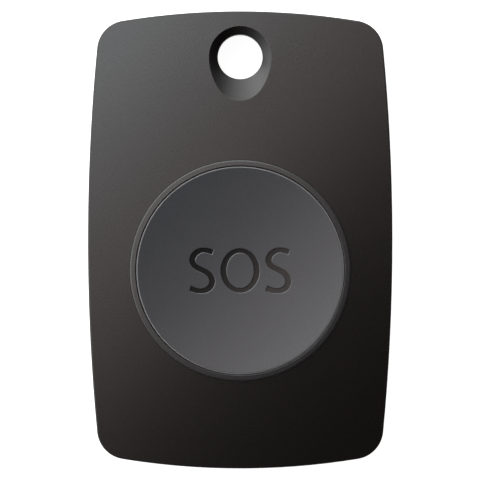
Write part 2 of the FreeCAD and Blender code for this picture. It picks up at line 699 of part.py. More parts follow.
def make_button_cap():
    """Mould the dished cap: skirt, flange, post, ribs and the notches that the guide pins run in."""
    body = new_body("button_cap")
    profile = new_sketch(body, "cap_profile", "XZ_Plane", "button_drop")
    high = f"({CROWN_TOP} + rim_raise + {BLANK_SPARE})"
    add_polygon(profile, [("0", PLUNGER_TOP), ("cap_post_radius", PLUNGER_TOP),
                          ("cap_post_radius", CAP_CEILING), (CAP_INNER, CAP_CEILING),
                          (CAP_INNER, FLANGE_BASE), (CAP_FLANGE, FLANGE_BASE), (CAP_FLANGE, RING_BASE),
                          ("button_radius", RING_BASE), ("button_radius", high), ("0", high)])
    turn(body, "cap_blank", profile)
    crown = crown_cut(body, "cap_crown", RIM_SPHERE)
    rim = round_edges(body, "cap_rim", crown, "rim_bevel_height",
                      lambda edge: on_sphere(edge, RIM_SPHERE) and from_axis(edge, value(BUTTON_Y)) > NEAR,
                      "Chamfer")
    rim.ChamferType = "Two distances"
    bind(rim, "Size2", "rim_bevel")
    dish = add_feature(body, "SubtractiveSphere", "cap_dish")
    dish.MapMode = "Deactivated"
    centre_reach = f"({DISH_REACH} + dish_radius)"
    bind(dish, "Radius", "dish_radius")
    bind(dish, "Placement.Base.y", f"-{LEAN_SINE} * {centre_reach}")
    bind(dish, "Placement.Base.z", f"{CROWN_CENTRE} + {LEAN_COSINE} * {centre_reach}")
    rib = new_sketch(body, "rib_outline", offset=f"({CAP_CEILING} - cap_rib_height)")
    bind(rib, "AttachmentOffset.Base.y", BUTTON_Y)
    add_rectangle(rib, f"({PAD_CROWN} + cap_rib_width)", f"({CAP_INNER} + skirt_wall / 2)",
                  "-cap_rib_width / 2", "cap_rib_width / 2")
    rib_pad = pad(body, "rib", rib, "cap_rib_height")
    ring_pattern(body, "ribs", rib_pad, rib, RIB_COUNT)
    notch = new_sketch(body, "notch_outline", offset=FLANGE_BASE)
    bind(notch, "AttachmentOffset.Base.y", BUTTON_Y)
    add_circle(notch, "(guide_pin_radius + guide_clearance)", "0", GUIDE_RADIUS)
    notch_cut = pocket(body, "notch", notch, "cap_flange_height")
    ring_pattern(body, "notches", notch_cut, notch, PIN_COUNT)
    return body


def make_rear_cover():
    """Mould the rear tray with the battery opening, bosses, board posts, tube and tongue."""
    body = new_body("rear_cover")
    rim = "(parting_height - seam_gap)"
    outline = new_sketch(body, "tray_outline", offset=rim)
    add_barrel(outline)
    block = pad(body, "tray_block", outline, rim, down=True, draft=True)
    round_edges(body, "tray_back_edge", block, "back_edge_radius",
                lambda edge: edge.BoundBox.ZMax < NEAR)
    hollow = new_sketch(body, "tray_hollow_outline", offset="rear_floor")
    add_barrel(hollow, "side_wall")
    pocket(body, "tray_hollow", hollow, "parting_height")

    tongue = new_sketch(body, "tongue_outline", offset=rim)
    add_barrel(tongue, "(side_wall - tongue_wall)")
    add_barrel(tongue, "side_wall")
    pad(body, "tongue", tongue, "seam_gap + tongue_height")

    wall = new_sketch(body, "battery_wall_outline", offset="rear_floor")
    add_circle(wall, BATTERY_INNER, "0", BUTTON_Y)
    add_circle(wall, f"({BATTERY_INNER} + battery_wall)", "0", BUTTON_Y)
    pad(body, "battery_wall", wall, f"{PCB_BASE} - battery_wall_drop - rear_floor")

    bosses = four_circles(body, "tray_boss_outlines", "rear_floor",
                          HEAD_BOSS, SCREW_X, SCREW_Y, SCREW_Y)
    pad(body, "tray_bosses", bosses, "parting_height - rear_floor")
    posts = four_circles(body, "tray_post_outlines", "rear_floor", "post_radius",
                         POST_X, POST_LOW, POST_HIGH)
    pad(body, "tray_posts", posts, f"{PCB_BASE} - rear_floor")
    pins = four_circles(body, "tray_pin_outlines", PCB_BASE, "post_pin_radius",
                        POST_X, POST_LOW, POST_HIGH)
    pad(body, "tray_pins", pins, "pcb_thickness + post_pin_height")

    tube = new_sketch(body, "tray_tube_outline", offset="rear_floor")
    add_circle(tube, "(key_radius + key_wall)", "0", KEY_Y)
    pad(body, "tray_tube", tube, "parting_height - rear_floor")
    bore = new_sketch(body, "tray_bore_outline")
    add_circle(bore, "key_radius", "0", KEY_Y)
    bored = pocket(body, "tray_bore", bore, "parting_height")
    bore_reach = value("key_radius") + NEAR
    round_edges(body, "tray_bore_edge", bored, "key_edge_radius",
                lambda edge: edge.BoundBox.ZMax < NEAR and from_axis(edge, value(KEY_Y)) < bore_reach)

    recess = new_sketch(body, "door_recess_outline")
    add_circle(recess, f"({DOOR_RADIUS} + door_clearance)", "0", BUTTON_Y)
    pocket(body, "door_recess_cut", recess, CELL_BASE)
    ledge = new_sketch(body, "ledge_outline")
    add_circle(ledge, LEDGE_RADIUS, "0", BUTTON_Y)
    pocket(body, "ledge_opening", ledge, "rear_floor")
    notch = new_sketch(body, "lug_notch_outline")
    bind(notch, "AttachmentOffset.Base.y", BUTTON_Y)
    bind(notch, "AttachmentOffset.Rotation.Angle", "-unlock_angle * 1deg")
    add_rectangle(notch, "(-lug_width / 2 - ledge_clearance)", "(lug_width / 2 + ledge_clearance)",
                  f"({LEDGE_RADIUS} - ledge_clearance * 2)", f"({LUG_RADIUS} + ledge_clearance * 2)")
    notch_cut = pocket(body, "lug_notch", notch, "rear_floor")
    ring_pattern(body, "lug_notches", notch_cut, notch, LUG_COUNT)

    heads = four_circles(body, "head_outlines", "0", "(head_radius + head_clearance)",
                         SCREW_X, SCREW_Y, SCREW_Y)
    pocket(body, "head_recesses", heads, "head_recess + head_height")
    holes = four_circles(body, "screw_hole_outlines", "0", "(screw_radius + screw_clearance)",
                         SCREW_X, SCREW_Y, SCREW_Y)
    pocket(body, "screw_holes", holes, "parting_height")
    return body


def make_battery_door():
    """Turn the round door with its hub and seal groove, then add three lugs and the coin slot."""
    body = new_body("battery_door")
    profile = new_sketch(body, "door_profile", "XZ_Plane", "button_drop")
    groove = f"({CELL_BASE} - 2 * seal_section - seal_play)"
    groove_in = f"({SEAL_RADIUS} - seal_section - seal_play)"
    groove_out = f"({SEAL_RADIUS} + seal_section + seal_play)"
    add_polygon(profile, [("0", "door_recess"), (f"({DOOR_RADIUS} - door_edge)", "door_recess"),
                          (DOOR_RADIUS, "(door_recess + door_edge)"), (DOOR_RADIUS, CELL_BASE),
                          (groove_out, CELL_BASE), (groove_out, groove), (groove_in, groove),
                          (groove_in, CELL_BASE), (HUB_OUTER, CELL_BASE), (HUB_OUTER, LUG_TOP),
                          (HUB_INNER, LUG_TOP), (HUB_INNER, CELL_BASE), ("0", CELL_BASE)])
    turn(body, "door_blank", profile)
    lug = new_sketch(body, "lug_outline", offset="(rear_floor + lug_lift)")
    bind(lug, "AttachmentOffset.Base.y", BUTTON_Y)
    add_rectangle(lug, "-lug_width / 2", "lug_width / 2",
                  f"({HUB_OUTER} - hub_wall / 2)", LUG_RADIUS)
    lug_pad = pad(body, "lug", lug, "lug_height")
    ring_pattern(body, "lugs", lug_pad, lug, LUG_COUNT)
    slot = new_sketch(body, "coin_slot_outline", offset="door_recess")
    bind(slot, "AttachmentOffset.Base.y", BUTTON_Y)
    add_rectangle(slot, "-coin_slot_length / 2", "coin_slot_length / 2",
                  "-coin_slot_width / 2", "coin_slot_width / 2")
    cut = pocket(body, "coin_slot", slot, "coin_slot_depth")
    depth = value("coin_slot_depth")
    corner_reach = math.hypot(value("coin_slot_length / 2"), value("coin_slot_width / 2"))
    round_edges(body, "coin_slot_ends", cut, "(coin_slot_width / 2 - slot_end_flat)",
                lambda edge: abs(edge.BoundBox.ZLength - depth) < NEAR
                and abs(from_axis(edge, value(BUTTON_Y)) - corner_reach) < NEAR)
    return body


def make_ring(name, major, minor, height):
    """Model an O-ring that lies flat about the button's axis."""
    ring = doc.addObject("Part::Torus", name)
    bind(ring, "Radius1", major)
    bind(ring, "Radius2", minor)
    bind(ring, "Placement.Base.y", BUTTON_Y)
    bind(ring, "Placement.Base.z", height)
    return ring


def turned_piece(name, corners):
    """Turn a piece about the button's axis from corners given as radius and height."""
    body = new_body(name)
    profile = new_sketch(body, f"{name}_profile", "XZ_Plane", "button_drop")
    add_polygon(profile, corners)
    turn(body, f"{name}_turned", profile)
    return body


def make_battery_cell():
    """Turn the coin cell: the can, its rolled edge and the smaller lid on top."""
    lid = "(cell_radius - cell_step - cell_edge)"
    return turned_piece("battery_cell", [
        ("0", CELL_BASE), ("(cell_radius - cell_step)", CELL_BASE),
        ("cell_radius", f"({CELL_BASE} + cell_step)"), ("cell_radius", f"({CELL_TOP} - cell_step)"),
        ("(cell_radius - cell_step)", f"({CELL_TOP} - cell_step / 2)"),
        (lid, f"({CELL_TOP} - cell_step / 2)"), (lid, CELL_TOP), ("0", CELL_TOP)])


def make_return_pad():
    """Turn the silicone pad: foot ring, thin cone and top ring."""
    inner_foot = f"({PAD_FOOT} - pad_foot_width)"
    inner_crown = f"({PAD_CROWN} - pad_crown_width)"
    foot_top = f"({PCB_TOP} + pad_foot_height)"
    ring_base = f"({CAP_CEILING} - pad_crown_height)"
    return turned_piece("return_pad", [
        (inner_foot, PCB_TOP), (PAD_FOOT, PCB_TOP), (PAD_FOOT, foot_top),
        (f"({inner_foot} + pad_web)", foot_top), (PAD_CROWN, ring_base), (PAD_CROWN, CAP_CEILING),
        (inner_crown, CAP_CEILING), (inner_crown, ring_base), (f"({PAD_CROWN} - pad_web)", ring_base),
        (inner_foot, foot_top)])


def make_pcb():
    """Cut the board from the case outline, square its ends and drill it for the post pins."""
    body = new_body("pcb")
    outline = new_sketch(body, "board_outline", offset=PCB_BASE)
    add_barrel(outline, "pcb_inset")
    pad(body, "board_blank", outline, "pcb_thickness")
    ends = new_sketch(body, "board_ends", offset=PCB_BASE)
    add_rectangle(ends, "-body_width", "body_width", BOARD_HIGH, "body_length")
    add_rectangle(ends, "-body_width", "body_width", "-body_length", f"-{BOARD_LOW}")
    pocket(body, "board_cut", ends, "pcb_thickness")
    holes = four_circles(body, "board_hole_outlines", PCB_BASE, "(post_pin_radius + post_clearance)",
                         POST_X, POST_LOW, POST_HIGH)
    pocket(body, "board_holes", holes, "pcb_thickness")
    return body


def strip(name, corners, width):
    """Bend a metal strip: an outline across the case, given width along it."""
    body = new_body(name)
    profile = new_sketch(body, f"{name}_profile", "XZ_Plane", "button_drop")
    add_polygon(profile, corners)
    pad(body, f"{name}_strip", profile, width, both_ways=True)
    return body


def make_contacts():
    """Bend the two battery contacts: a clip beside the cell and a leaf on its lid."""
    inner = "(cell_radius + contact_play)"
    outer = f"({inner} + contact_sheet)"
    foot_end = f"({outer} + contact_foot)"
    foot_base = f"({PCB_BASE} - contact_sheet)"
    clip_end = f"({LUG_TOP} + lug_lift)"
    clip = strip("positive_contact", [
        (inner, clip_end), (outer, clip_end), (outer, foot_base), (foot_end, foot_base),
        (foot_end, PCB_BASE), (inner, PCB_BASE)], "contact_width")
    touch = f"({CELL_TOP} + contact_sheet)"
    lift = f"({CELL_TOP} + contact_gap / 3)"
    leaf = strip("negative_contact", [
        ("leaf_end", foot_base), ("leaf_bend", foot_base), ("leaf_touch", CELL_TOP),
        ("-leaf_touch", CELL_TOP), ("-leaf_tip", lift), ("-leaf_tip", f"({lift} + contact_sheet)"),
        ("-leaf_touch", touch), ("leaf_touch", touch), ("leaf_bend", PCB_BASE),
        ("leaf_end", PCB_BASE)], "contact_width")
    return [clip, leaf]


def square_block(name, height, length, width):
    """Pad a square block centred on the button's axis."""
    body = new_body(name)
    outline = new_sketch(body, f"{name}_outline", offset=height)
    bind(outline, "AttachmentOffset.Base.y", BUTTON_Y)
    half = f"({width} / 2)"
    add_rectangle(outline, f"-{half}", half, f"-{half}", half)
    pad(body, f"{name}_block", outline, length)
    return body


def make_switch():
    """Build the tact switch: base, cover frame, snap dome and plunger."""
    base = square_block("switch_base", PCB_TOP, "switch_height", "switch_width")
    well = new_sketch(base, "switch_well_outline", offset=DOME_BASE)
    add_circle(well, "switch_well_radius", "0", BUTTON_Y)
    pocket(base, "switch_well", well, "switch_height")
    frame = square_block("switch_frame", SWITCH_TOP, "frame_thickness", "(switch_width - 2 * frame_inset)")
    hole = new_sketch(frame, "frame_hole_outline", offset=SWITCH_TOP)
    add_circle(hole, "(plunger_radius + plunger_play)", "0", BUTTON_Y)
    pocket(frame, "frame_hole", hole, "frame_thickness")
    collar_top = f"({SWITCH_TOP} - plunger_play / 2)"
    plunger = turned_piece("switch_plunger", [
        ("0", DOME_TOP), ("collar_radius", DOME_TOP), ("collar_radius", collar_top),
        ("plunger_radius", collar_top), ("plunger_radius", f"({PLUNGER_TOP} - plunger_edge)"),
        ("(plunger_radius - plunger_edge)", PLUNGER_TOP), ("0", PLUNGER_TOP)])
    return [base, frame, plunger, make_dome()]


def make_dome():
    """Turn the snap dome from two arcs about one centre."""
    body = new_body("switch_dome")
    profile = new_sketch(body, "dome_profile", "XZ_Plane", "button_drop")
    height = f"({DOME_TOP} - {DOME_BASE})"
    outer = f"((dome_radius^2 + {height}^2) / (2 * {height}))"
    inner = f"({outer} - dome_sheet)"
    middle = f"({DOME_TOP} - {outer})"
    centre = FreeCAD.Vector(0, value(middle), 0)
    floor = value(DOME_BASE)
    foot = FreeCAD.Vector(value("dome_radius"), floor, 0)
    heel = FreeCAD.Vector(math.sqrt(value(inner) ** 2 - (floor - centre.y) ** 2), floor, 0)
    top = FreeCAD.Vector(0, value(DOME_TOP), 0)
    under = FreeCAD.Vector(0, value(f"{DOME_TOP} - dome_sheet"), 0)
    profile.addGeometry(arc_between(centre, foot, top), False)
    profile.addGeometry(Part.LineSegment(top, under), False)
    profile.addGeometry(arc_between(centre, heel, under), False)
    profile.addGeometry(Part.LineSegment(heel, foot), False)
    for joint in ((0, 2, 1, 1), (1, 2, 2, 2), (2, 1, 3, 1), (3, 2, 0, 1)):
        profile.addConstraint(Sketcher.Constraint("Coincident", *joint))
    pin(profile, 0, 3, "0", middle)
    profile.addConstraint(Sketcher.Constraint("Coincident", 2, 3, 0, 3))
    limit(profile, "Radius", (0,), outer)
    limit(profile, "Radius", (2,), inner)
    profile.addConstraint(Sketcher.Constraint("PointOnObject", 1, 1, -2))
    profile.addConstraint(Sketcher.Constraint("PointOnObject", 1, 2, -2))
    profile.addConstraint(Sketcher.Constraint("Horizontal", 3))
    limit(profile, "DistanceY", (-1, 1, 0, 1), DOME_BASE)
    turn(body, "dome_turned", profile)
    return body


def make_terminals():
    """Bend a pair of switch legs on opposite sides and repeat the pair along the board."""
    body = new_body("switch_terminals")
    profile = new_sketch(body, "leg_profile", "XZ_Plane", "(button_drop - leg_spacing / 2)")
    sole = f"({PCB_TOP} + leg_sheet)"
    top = f"({PCB_TOP} + leg_height)"
    for side in ("", "-"):
        near = f"{side}(switch_width / 2)"
        middle = f"{side}(switch_width / 2 + leg_sheet)"
        far = f"{side}(switch_width / 2 + leg_reach)"
        add_polygon(profile, [(near, PCB_TOP), (far, PCB_TOP), (far, sole), (middle, sole),
                              (middle, top), (near, top)])
    legs = pad(body, "legs", profile, "leg_width", both_ways=True)
    row = add_feature(body, "LinearPattern", "leg_row")
    row.Originals = [legs]
    row.Direction = (profile, ["N_Axis"])
    bind(row, "Length", "leg_spacing")
    row.Occurrences = 2
    return body


def make_chip(name, across, length, width, height):
    """Set one chip on the board's upper line."""
    body = new_body(name)
    outline = new_sketch(body, f"{name}_outline", offset=PCB_TOP)
    add_rectangle(outline, f"(-{across} - {length} / 2)", f"(-{across} + {length} / 2)",
                  f"({CHIP_LINE} - {width} / 2)", f"({CHIP_LINE} + {width} / 2)")
    pad(body, f"{name}_block", outline, height)
    return body


def make_small_chips(name, left_side):
    """Set a column of small chips on the board beside the return pad."""
    body = new_body(name)
    outline = new_sketch(body, f"{name}_outline", offset=PCB_TOP)
    near = f"({PAD_FOOT} + small_chip_gap)"
    far = f"({near} + small_chip_length)"
    left, right = (f"-{far}", f"-{near}") if left_side else (near, far)
    for count in range(SMALL_CHIPS):
        step = count - (SMALL_CHIPS - 1) / 2
        along = f"({step} * small_chip_pitch - button_drop)"
        add_rectangle(outline, left, right, f"({along} - small_chip_width / 2)",
                      f"({along} + small_chip_width / 2)")
    pad(body, f"{name}_blocks", outline, "small_chip_height")
    return body


def make_antenna():
    """Print the antenna: a block of track with slots open in turn at its top and its bottom."""
    body = new_body("antenna_trace")
    outline = new_sketch(body, "antenna_outline", offset=PCB_TOP)
    low = f"({CHIP_LINE} - antenna_height / 2)"
    high = f"({CHIP_LINE} + antenna_height / 2)"
    add_rectangle(outline, "antenna_left", ANTENNA_RIGHT, low, high)
    pad(body, "antenna_block", outline, "antenna_sheet")
    slots = new_sketch(body, "antenna_slots_outline", offset=PCB_TOP)
    for count in range(ANTENNA_BARS - 1):
        near = f"(antenna_left + {count} * {ANTENNA_PITCH} + antenna_line)"
        far = f"(antenna_left + {count + 1} * {ANTENNA_PITCH})"
        if count % 2:
            add_rectangle(slots, near, far, f"({low} + antenna_line)", f"({high} + antenna_line)")
        else:
            add_rectangle(slots, near, far, f"({low} - antenna_line)", f"({high} - antenna_line)")
    pocket(body, "antenna_slots", slots, "antenna_sheet")
    return body


def make_screws():
    """Make the four case screws: heads, shanks with chamfered tips and cross recesses."""
    body = new_body("case_screws")
    heads = four_circles(body, "screw_head_outlines", "head_recess", "head_radius",
                         SCREW_X, SCREW_Y, SCREW_Y)
    pad(body, "screw_heads", heads, "head_height")
    shanks = four_circles(body, "shank_outlines", "(head_recess + head_height)", "screw_radius",
                          SCREW_X, SCREW_Y, SCREW_Y)
    shank = pad(body, "shanks", shanks, "screw_length")
    tip = value(SCREW_TIP)
    round_edges(body, "shank_tips", shank, "(screw_radius / 2)",
                lambda edge: edge.BoundBox.ZMin > tip - NEAR, "Chamfer")
    for name, long_x, long_y in (("slots_across", "head_slot_length", "head_slot_width"),
                                 ("slots_along", "head_slot_width", "head_slot_length")):
        slots = new_sketch(body, f"{name}_outline", offset="head_recess")
        for side in ("", "-"):
            for end in ("", "-"):
                across = f"{side}{SCREW_X}"
                along = f"{end}{SCREW_Y}"
                add_rectangle(slots, f"({across} - {long_x} / 2)", f"({across} + {long_x} / 2)",
                              f"({along} - {long_y} / 2)", f"({along} + {long_y} / 2)")
        pocket(body, name, slots, "head_slot_depth")
    return body


def check_sketches():
    """Stop if a sketch is not fully held by its constraints."""
    loose = [item.Name for item in doc.Objects
             if item.TypeId == "Sketcher::SketchObject" and not item.FullyConstrained]
    if loose:
        raise SystemExit(f"sketches that are not fully held: {loose}")


def check_states():
    """Stop if any object of the document failed."""
    failed = [f"{item.Name}: {item.State}" for item in doc.Objects
              if "Invalid" in item.State or "Error" in item.State]
    if failed:
        raise SystemExit(f"failed objects: {failed}")


def main():
    """Build every piece, check it and write it."""
    pieces = [make_front_cover(), make_rear_cover(), make_bezel_ring(), make_button_cap(),
              make_battery_door(), make_battery_cell(), make_return_pad(), make_pcb(),
              make_terminals(), make_antenna(), make_screws()]
    pieces += make_contacts()
    pieces += make_switch()
    pieces.append(make_ring("door_seal", SEAL_RADIUS, "seal_section",
                            f"({CELL_BASE} - seal_section - seal_play / 2)"))
    pieces.append(make_chip("controller_chip", CHIP_X, "chip_width", "chip_width", "chip_height"))
    pieces.append(make_chip("crystal_can", CRYSTAL_X, "crystal_length", "crystal_width",
                            "crystal_height"))
    pieces.append(make_small_chips("chip_resistors", left_side=False))
    pieces.append(make_small_chips("chip_capacitors", left_side=True))
    doc.recompute()
    check_states()
    check_sketches()
    os.makedirs("parts", exist_ok=True)
    for piece in pieces:
        shape = piece.Shape
        if shape.isNull() or not shape.isValid():
            raise SystemExit(f"{piece.Label} has no valid shape")
        shape.exportStep(f"parts/{piece.Label}.step")
        print(piece.Label, len(shape.Solids), round(shape.Volume, 3))


main()
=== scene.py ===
import json
import math
import bpy
import numpy as np
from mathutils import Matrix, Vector, geometry, kdtree

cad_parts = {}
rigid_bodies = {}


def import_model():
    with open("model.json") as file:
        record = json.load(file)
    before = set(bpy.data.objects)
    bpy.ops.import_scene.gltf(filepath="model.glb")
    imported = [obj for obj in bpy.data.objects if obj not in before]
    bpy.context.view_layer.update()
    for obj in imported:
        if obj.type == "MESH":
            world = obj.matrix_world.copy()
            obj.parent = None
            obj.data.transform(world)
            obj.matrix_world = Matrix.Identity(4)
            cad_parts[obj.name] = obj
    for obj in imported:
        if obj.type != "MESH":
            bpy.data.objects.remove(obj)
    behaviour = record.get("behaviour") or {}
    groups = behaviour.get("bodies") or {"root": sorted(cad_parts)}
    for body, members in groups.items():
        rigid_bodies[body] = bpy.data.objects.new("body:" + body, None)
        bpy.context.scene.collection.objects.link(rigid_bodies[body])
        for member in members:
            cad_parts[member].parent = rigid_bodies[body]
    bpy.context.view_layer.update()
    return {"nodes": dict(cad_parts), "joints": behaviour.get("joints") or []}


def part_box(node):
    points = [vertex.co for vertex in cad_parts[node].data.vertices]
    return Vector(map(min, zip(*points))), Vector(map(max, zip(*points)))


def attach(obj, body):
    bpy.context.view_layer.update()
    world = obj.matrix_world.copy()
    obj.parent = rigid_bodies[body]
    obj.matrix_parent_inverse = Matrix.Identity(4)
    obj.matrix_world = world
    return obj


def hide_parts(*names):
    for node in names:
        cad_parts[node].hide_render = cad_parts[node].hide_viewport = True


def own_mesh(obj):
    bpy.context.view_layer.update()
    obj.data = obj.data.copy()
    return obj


# Wireless panic button on a white floor, seen from straight above. Lengths are in metres unless noted.
MM = 0.001
WHITE = (1.0, 1.0, 1.0)
EVEN = (1.0, 1.0, 1.0)

# The photograph: its side in pixels, its scale and the pixel where the case's middle lies
PHOTO_SIDE = 480
PIXELS_PER_MM = 7.622
CASE_PIXEL_X = 240.17
CASE_PIXEL_Y = 239.9

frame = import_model()
cap_low, cap_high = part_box("button_cap")

# The middle of the button, and the height of the case's widest edge, where the photograph's scale holds
BUTTON = Vector(((cap_low.x + cap_high.x) / 2, (cap_low.y + cap_high.y) / 2, 0))
RIM_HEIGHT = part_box("rear_cover")[1].z


def new_material(name):
    """Start a node material and give its shader, its nodes and its links."""
    material = bpy.data.materials.new(name)
    material.use_nodes = True
    nodes = material.node_tree.nodes
    return material, nodes["Principled BSDF"], nodes, material.node_tree.links


def surface_place(nodes, links, scale=EVEN):
    """Give the place on the object in millimetres, stretched by a scale."""
    place = nodes.new("ShaderNodeTexCoord")
    mapping = nodes.new("ShaderNodeMapping")
    mapping.inputs["Scale"].default_value = [factor / MM for factor in scale]
    links.new(place.outputs["Object"], mapping.inputs["Vector"])
    return mapping.outputs["Vector"]


def noise(nodes, links, place, scale, detail=3.0):
    """Add a noise whose grains come at a number to the millimetre."""
    texture = nodes.new("ShaderNodeTexNoise")
    texture.inputs["Scale"].default_value = scale
    texture.inputs["Detail"].default_value = detail
    links.new(place, texture.inputs["Vector"])
    return texture.outputs["Fac"]


# The limits that a noise mostly keeps to
NOISE_LOW = 0.3
NOISE_HIGH = 0.7


def spread(nodes, links, source, low, high):
    """Turn a noise into a number between two limits."""
    mapped = nodes.new("ShaderNodeMapRange")
    mapped.inputs["From Min"].default_value = NOISE_LOW
    mapped.inputs["From Max"].default_value = NOISE_HIGH
    mapped.inputs["To Min"].default_value = low
    mapped.inputs["To Max"].default_value = high
    links.new(source, mapped.inputs["Value"])
    return mapped.outputs["Result"]


def two_tones(nodes, links, source, first, second):
    """Mix two colours by a number from 0 to 1."""
    mix = nodes.new("ShaderNodeMix")
    mix.data_type = "RGBA"
    mix.inputs["A"].default_value = (*first, 1)
    mix.inputs["B"].default_value = (*second, 1)
    links.new(source, mix.inputs["Factor"])
    return mix.outputs["Result"]


def bump(nodes, links, shader, source, height, strength=1.0):
    """Raise the surface by a texture, to a height in metres."""
    relief = nodes.new("ShaderNodeBump")
    relief.inputs["Strength"].default_value = strength
    relief.inputs["Distance"].default_value = height
    links.new(source, relief.inputs["Height"])
    links.new(relief.outputs["Normal"], shader.inputs["Normal"])


# The plastics: their refractive index, the size of their mottling and how far their roughness strays
PLASTIC_IOR = 1.58
CLOUDS_PER_MM = 0.35
ROUGHNESS_STRAY = 0.02


def moulded_plastic(name, colour, shade, roughness, grain=14.0, relief=0.0006, gloss=0.5):
    """Satin plastic from a spark-eroded mould: fine grain, faint mottling and uneven gloss."""
    material, shader, nodes, links = new_material(name)
    place = surface_place(nodes, links)
    cloud = noise(nodes, links, place, CLOUDS_PER_MM)
    fine = noise(nodes, links, place, grain, detail=2.0)
    darker = [part * shade for part in colour]
    links.new(two_tones(nodes, links, spread(nodes, links, cloud, 0, 1), colour, darker),
              shader.inputs["Base Color"])
    stray = spread(nodes, links, fine, roughness - ROUGHNESS_STRAY, roughness + ROUGHNESS_STRAY)
    links.new(stray, shader.inputs["Roughness"])
    shader.inputs["IOR"].default_value = PLASTIC_IOR
    shader.inputs["Specular IOR Level"].default_value = gloss
    bump(nodes, links, shader, fine, relief * MM)
    return material


# Soft mouldings: grains of dust to the millimetre, how much paler they are, and the roughness's stray
DUST_PER_MM = 2.0
DUST_PALER = 0.03
DUST_STRAY = 0.06

# The unevenness of their surface: its grains to the millimetre, and its height in millimetres
SOFT_GRAIN = 9.0
SOFT_RELIEF = 0.002


def rubber(name, colour, roughness, subsurface=0.0):
    """Soft moulding: dull, with a dusty mottling."""
    material, shader, nodes, links = new_material(name)
    place = surface_place(nodes, links)
    dust = noise(nodes, links, place, DUST_PER_MM)
    paler = [part + DUST_PALER for part in colour]
    links.new(two_tones(nodes, links, spread(nodes, links, dust, 0, 1), colour, paler),
              shader.inputs["Base Color"])
    stray = spread(nodes, links, dust, roughness - DUST_STRAY, roughness + DUST_STRAY)
    links.new(stray, shader.inputs["Roughness"])
    shader.inputs["Subsurface Weight"].default_value = subsurface
    shader.inputs["Subsurface Scale"].default_value = MM
    bump(nodes, links, shader, noise(nodes, links, place, SOFT_GRAIN), SOFT_RELIEF * MM)
    return material


# Metals: lines and stains to the millimetre, how dull a stain is, and the least and most of the stray
LINES_PER_MM = 6.0
STAINS_PER_MM = 0.6
STAIN_SHADE = 0.82
LINE_STRAY = (-0.06, 0.08)


def metal(name, colour, roughness, brushed=EVEN, relief=0.001):
    """Bare or plated metal, brushed where its noise is stretched."""
    material, shader, nodes, links = new_material(name)
    shader.inputs["Metallic"].default_value = 1.0
    place = surface_place(nodes, links, brushed)
    lines = noise(nodes, links, place, LINES_PER_MM)
    stain = noise(nodes, links, surface_place(nodes, links), STAINS_PER_MM)
    duller = [part * STAIN_SHADE for part in colour]
    links.new(two_tones(nodes, links, spread(nodes, links, stain, 0, 1), colour, duller),
              shader.inputs["Base Color"])
    low, high = (roughness + part for part in LINE_STRAY)
    links.new(spread(nodes, links, lines, low, high), shader.inputs["Roughness"])
    bump(nodes, links, shader, lines, relief * MM)
    return material


# The board's tracks, in millimetres: their length, pitch and width, and how high the mask lies on them
TRACK_LENGTH = 3.1
TRACK_PITCH = 0.9
TRACK_WIDTH = 0.11
TRACK_RELIEF = 0.03
TRACK_STRENGTH = 0.6

# The board's two greens, that of its tracks, its weave to the millimetre and its range of roughness
BOARD_GREENS = ((0.006, 0.075, 0.03), (0.008, 0.085, 0.034))
TRACK_GREEN = (0.02, 0.15, 0.06)
WEAVE_PER_MM = 3.0
BOARD_ROUGHNESS = (0.25, 0.38)


def circuit_board(name):
    """Green solder mask over woven glass, with the copper tracks showing through as paler lines."""
    material, shader, nodes, links = new_material(name)
    place = surface_place(nodes, links)
    tracks = nodes.new("ShaderNodeTexBrick")
    tracks.inputs["Scale"].default_value = 1.0
    tracks.inputs["Brick Width"].default_value = TRACK_LENGTH
    tracks.inputs["Row Height"].default_value = TRACK_PITCH
    tracks.inputs["Mortar Size"].default_value = TRACK_WIDTH
    tracks.inputs["Color1"].default_value = (*BOARD_GREENS[0], 1)
    tracks.inputs["Color2"].default_value = (*BOARD_GREENS[1], 1)
    tracks.inputs["Mortar"].default_value = (*TRACK_GREEN, 1)
    links.new(place, tracks.inputs["Vector"])
    links.new(tracks.outputs["Color"], shader.inputs["Base Color"])
    weave = noise(nodes, links, place, WEAVE_PER_MM)
    links.new(spread(nodes, links, weave, *BOARD_ROUGHNESS), shader.inputs["Roughness"])
    bump(nodes, links, shader, tracks.outputs["Fac"], TRACK_RELIEF * MM, TRACK_STRENGTH)
    return material


def dress(slot, material):
    """Put a material on every node that uses a slot of the record."""
    for node in frame["nodes"].values():
        for place in node.material_slots:
            if place.material and place.material.name.split(".")[0] == slot:
                place.material = material


